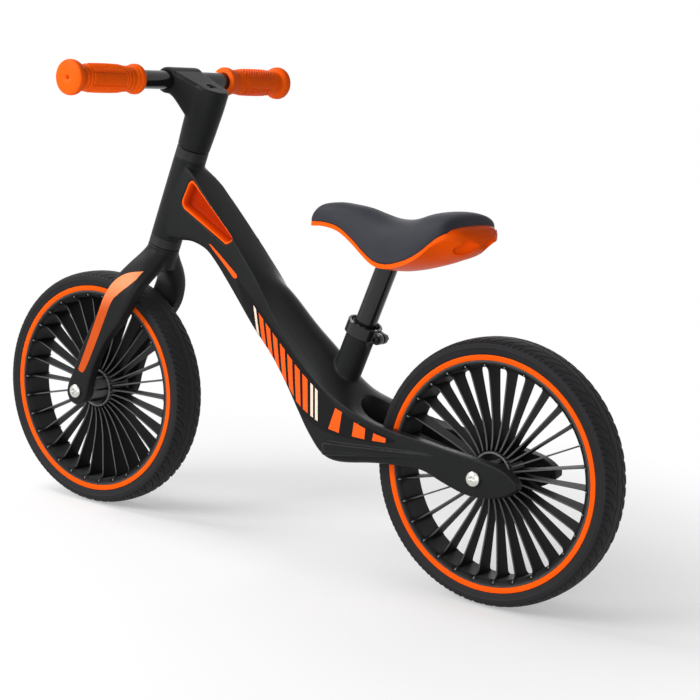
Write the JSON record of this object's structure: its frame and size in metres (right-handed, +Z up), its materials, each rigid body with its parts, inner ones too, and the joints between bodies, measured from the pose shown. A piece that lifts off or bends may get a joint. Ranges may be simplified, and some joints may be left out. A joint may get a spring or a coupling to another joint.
{
  "type": "balance bike",
  "caption": "Child's balance bike with a one-piece moulded frame and fork, foam tyres on vaned plastic wheels, steering handlebar and a padded saddle on a height-adjustable post.",
  "frame": {"origin": "on the floor, at the middle of the bounding box's underside, half way between the two axles", "axes": "+X forward towards the front wheel, +Y to the rider's left along the axles, +Z up"},
  "size_m": [0.879, 0.382, 0.5579],
  "materials": {
    "shell_black": "satin",
    "window_orange": "satin",
    "grip_orange": "matte",
    "ring_orange": "satin",
    "base_orange": "satin",
    "pad_slate": "soft matte",
    "gloss_black": "gloss",
    "black_steel": "satin",
    "plain_steel": "turned",
    "zinc": "bright zinc plated",
    "rim_black": "satin",
    "tyre_foam": "matte foam"
  },
  "bodies": {
    "frame": {"frame": "shell_black", "window_insert_left": "window_orange", "window_insert_right": "window_orange", "lower_headset_cup": "shell_black", "upper_headset_cup": "shell_black", "seat_clamp": "black_steel", "seat_clamp_bolt": "black_steel", "seat_clamp_nut": "black_steel", "rear_axle_bolt": "zinc", "rear_axle_nut": "zinc", "rear_axle_spacer_left": "rim_black", "rear_axle_spacer_right": "rim_black"},
    "fork": {"fork": "shell_black", "steerer_tube": "black_steel", "stem": "shell_black", "stem_bolt": "black_steel", "expander_wedge": "plain_steel", "handlebar": "gloss_black", "grip_left": "grip_orange", "grip_right": "grip_orange", "front_axle_bolt": "zinc", "front_axle_nut": "zinc", "front_axle_spacer_left": "rim_black", "front_axle_spacer_right": "rim_black"},
    "front_wheel": {"front_tyre": "tyre_foam", "front_rim": "rim_black", "front_trim_ring_left": "ring_orange", "front_trim_ring_right": "ring_orange", "front_bearing_left": "plain_steel", "front_bearing_right": "plain_steel"},
    "rear_wheel": {"rear_tyre": "tyre_foam", "rear_rim": "rim_black", "rear_trim_ring_left": "ring_orange", "rear_trim_ring_right": "ring_orange", "rear_bearing_left": "plain_steel", "rear_bearing_right": "plain_steel"},
    "seat": {"seat_post": "gloss_black", "post_plug": "rim_black", "saddle_screw": "zinc", "saddle_base": "base_orange", "saddle_pad": "pad_slate"}
  },
  "joints": [
    {"name": "steering", "type": "hinge", "parent": "frame", "child": "fork", "pos_m": [0.2015, 0, 0.3376], "axis": [-0.309, 0, 0.9511], "range_deg": [-60, 60]},
    {"name": "front_wheel_spin", "type": "hinge", "parent": "fork", "child": "front_wheel", "pos_m": [0.2925, 0, 0.147], "axis": [0, 1, 0], "continuous": true},
    {"name": "rear_wheel_spin", "type": "hinge", "parent": "frame", "child": "rear_wheel", "pos_m": [-0.2925, 0, 0.147], "axis": [0, 1, 0], "continuous": true},
    {"name": "seat_slide", "type": "slide", "parent": "frame", "child": "seat", "axis": [-0.3453, 0, 0.9385], "range_m": [-0.035, 0.03]}
  ]
}
